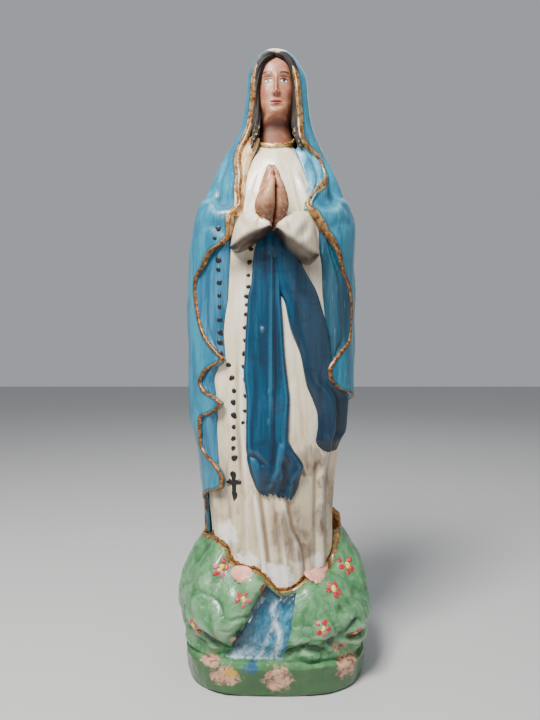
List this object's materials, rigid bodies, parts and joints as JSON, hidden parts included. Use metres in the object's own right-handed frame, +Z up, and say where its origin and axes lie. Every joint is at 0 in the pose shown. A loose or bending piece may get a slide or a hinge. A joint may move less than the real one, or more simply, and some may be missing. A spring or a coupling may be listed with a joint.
{
  "type": "madonna statue",
  "caption": "Hand-painted plaster madonna standing on a rocky mound, hands joined in prayer, in a blue hooded mantle, white gown and dark blue sash.",
  "frame": {"origin": "middle of the plinth's resting face", "axes": "+Z up, the figure faces -Y, +X towards her left hand (the viewer's right)"},
  "size_m": [0.1248, 0.1055, 0.4],
  "materials": {
    "white": "cream-white oil paint on cast plaster, glossy, yellowed and dirty in the folds",
    "blue": "sky-blue oil paint on cast plaster, glossy, brush-streaked",
    "lining": "darker blue oil paint on cast plaster",
    "sash": "deep blue oil paint on cast plaster, glossy",
    "skin": "flesh-pink oil paint on cast plaster",
    "hair": "dark brown paint on cast plaster",
    "gold": "gold-bronze paint on cast plaster, dulled",
    "green": "mid-green oil paint on cast plaster, dark in the crevices",
    "water": "mottled blue and white oil paint on cast plaster",
    "iron": "bare iron rod, hidden"
  },
  "bodies": {
    "root": {"mound_base": "green", "stream": "water", "gown": "white", "mantle": "blue", "hood": "blue", "mantle_corner": "gold", "mantle_lining_right": "lining", "mantle_lining_right_low": "lining", "mantle_lining_left": "lining", "lapel_right": "lining", "lapel_left": "lining", "sash_knot": "sash", "sash_tail_right": "sash", "sash_tail_left": "sash", "sleeve_right": "white", "sleeve_left": "white", "hand_right": "skin", "hand_left": "skin", "head": "skin", "hair_right": "hair", "hair_left": "hair", "collar": "gold", "foot_right": "skin", "foot_left": "skin", "neck_rod": "iron"}
  },
  "joints": []
}
